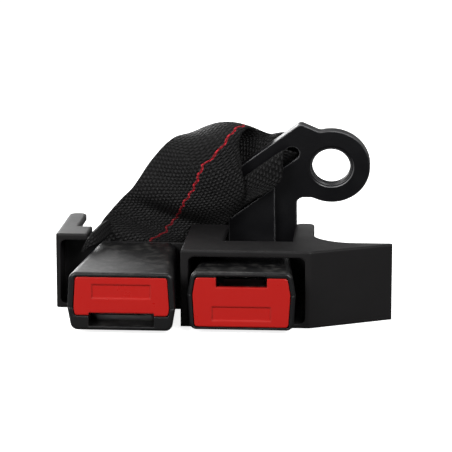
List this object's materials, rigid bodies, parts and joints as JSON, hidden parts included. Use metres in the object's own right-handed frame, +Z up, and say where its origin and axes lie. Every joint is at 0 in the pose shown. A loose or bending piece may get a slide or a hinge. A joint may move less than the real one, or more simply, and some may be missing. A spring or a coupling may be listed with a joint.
{
  "type": "twin seat belt buckle",
  "caption": "Twin push-button seat belt buckle in a moulded boot, with a doubled webbing strap and an anchor plate with a bolt eye.",
  "frame": {"origin": "on the resting face, in the middle of the width and the depth", "axes": "+Z up from the resting face, +Y away from the push buttons, +X across to the eye of the anchor plate"},
  "size_m": [0.1398, 0.0902, 0.0759],
  "materials": {
    "boot_plastic": "fine grained black moulding",
    "housing_plastic": "satin black moulding",
    "button_plastic": "satin red moulding",
    "slide_plastic": "natural acetal",
    "frame_steel": "zinc plated pressing",
    "pin_steel": "ground bright",
    "spring_steel": "drawn wire",
    "plate_coat": "semi-gloss black dip coat",
    "webbing": "woven polyester with one red warp thread"
  },
  "bodies": {
    "base": {"boot": "boot_plastic", "anchor_plate": "plate_coat", "strap": "webbing", "outboard_stem": "plate_coat", "centre_housing_lower": "housing_plastic", "centre_housing_upper": "housing_plastic", "centre_frame": "frame_steel", "centre_strap_bar": "pin_steel", "centre_button_spring": "spring_steel", "centre_ejector_spring": "spring_steel", "outboard_housing_lower": "housing_plastic", "outboard_housing_upper": "housing_plastic", "outboard_frame": "frame_steel", "outboard_rivets": "pin_steel", "outboard_button_spring": "spring_steel", "outboard_ejector_spring": "spring_steel"},
    "centre_press": {"centre_button": "button_plastic", "centre_lock_pin": "pin_steel"},
    "centre_slide": {"centre_ejector": "slide_plastic"},
    "centre_fork": {"centre_latch": "frame_steel"},
    "outboard_press": {"outboard_button": "button_plastic", "outboard_lock_pin": "pin_steel"},
    "outboard_slide": {"outboard_ejector": "slide_plastic"},
    "outboard_fork": {"outboard_latch": "frame_steel"}
  },
  "joints": [
    {"name": "centre_button_press", "type": "slide", "parent": "base", "child": "centre_press", "axis": [0, 1, 0], "range_m": [0, 0.005], "stiffness_N_per_m": 1500, "springref_m": -0.001, "deforming": ["centre_button_spring"]},
    {"name": "centre_ejector_slide", "type": "slide", "parent": "base", "child": "centre_slide", "axis": [0, 1, 0], "range_m": [0, 0.01], "stiffness_N_per_m": 600, "springref_m": -0.001, "deforming": ["centre_ejector_spring"]},
    {"name": "centre_latch_drop", "type": "hinge", "parent": "base", "child": "centre_fork", "pos_m": [-0.0374, -0.0066, 0.0113], "axis": [1, 0, 0], "range_deg": [0, 8.1]},
    {"name": "outboard_button_press", "type": "slide", "parent": "base", "child": "outboard_press", "axis": [0, 1, 0], "range_m": [0, 0.005], "stiffness_N_per_m": 1500, "springref_m": -0.001, "deforming": ["outboard_button_spring"]},
    {"name": "outboard_ejector_slide", "type": "slide", "parent": "base", "child": "outboard_slide", "axis": [0, 1, 0], "range_m": [0, 0.01], "stiffness_N_per_m": 600, "springref_m": -0.001, "deforming": ["outboard_ejector_spring"]},
    {"name": "outboard_latch_drop", "type": "hinge", "parent": "base", "child": "outboard_fork", "pos_m": [0.0102, -0.0028, 0.0157], "axis": [-1, 0, 0], "range_deg": [0, 8.1]}
  ],
  "couplings": [
    {"joint": "centre_latch_drop", "follows": "centre_ejector_slide", "rad_per_m": 13.963},
    {"joint": "outboard_latch_drop", "follows": "outboard_ejector_slide", "rad_per_m": 13.963}
  ]
}
